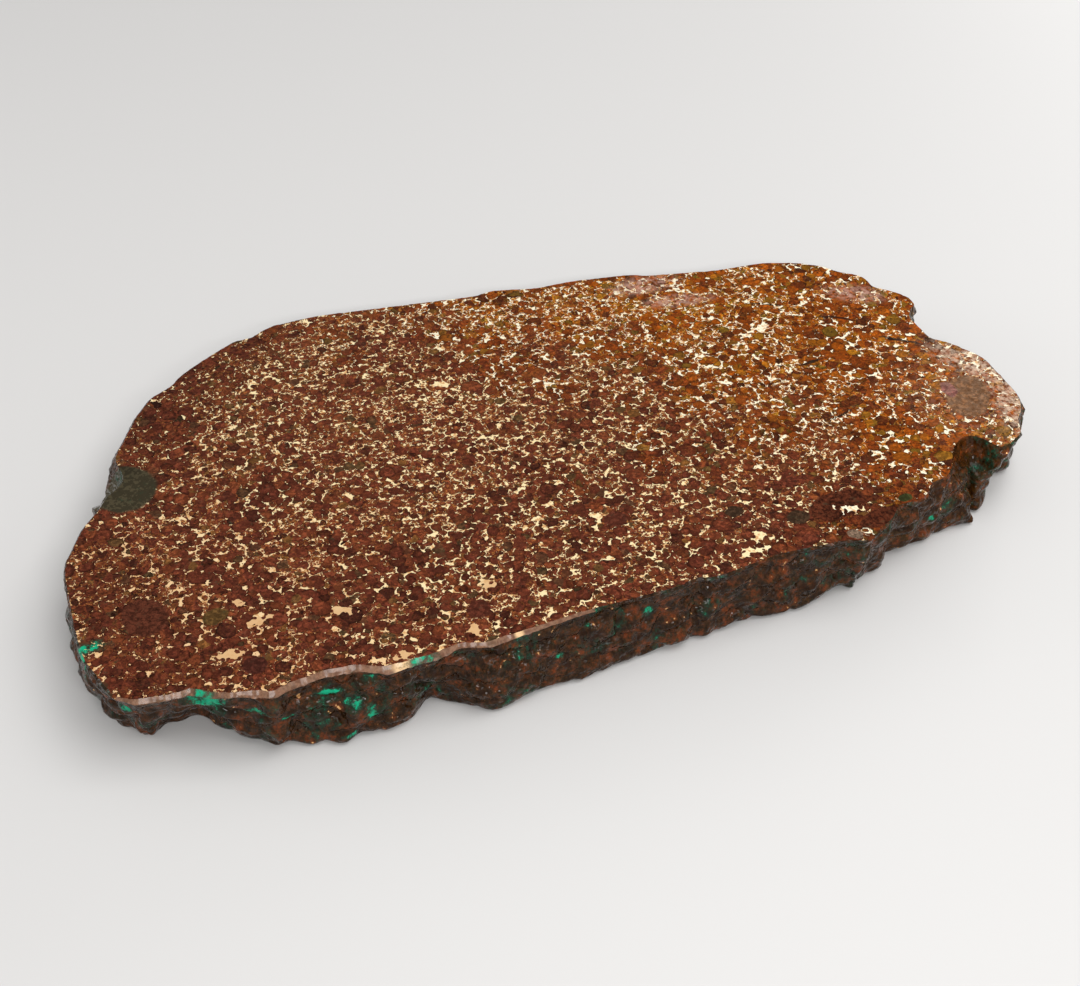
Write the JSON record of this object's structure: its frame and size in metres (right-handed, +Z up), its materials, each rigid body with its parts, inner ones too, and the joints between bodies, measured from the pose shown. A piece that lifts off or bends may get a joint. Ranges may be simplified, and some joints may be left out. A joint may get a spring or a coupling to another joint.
{
  "type": "copper conglomerate slab",
  "caption": "Long rounded slab of native copper conglomerate with a polished top face, a sawn flat underside and rough broken sides, for display.",
  "frame": {"origin": "on the resting surface, under the middle of the slab's bounding box", "axes": "+X along the slab towards its stepped broken end, -Y towards its bevelled front edge, +Z up out of the polished face"},
  "size_m": [0.502, 0.2793, 0.04],
  "materials": {
    "conglomerate": "polished red-brown conglomerate with bright native copper between its pebbles; rough broken sides with green malachite"
  },
  "bodies": {
    "root": {"slab": "conglomerate"}
  },
  "joints": []
}
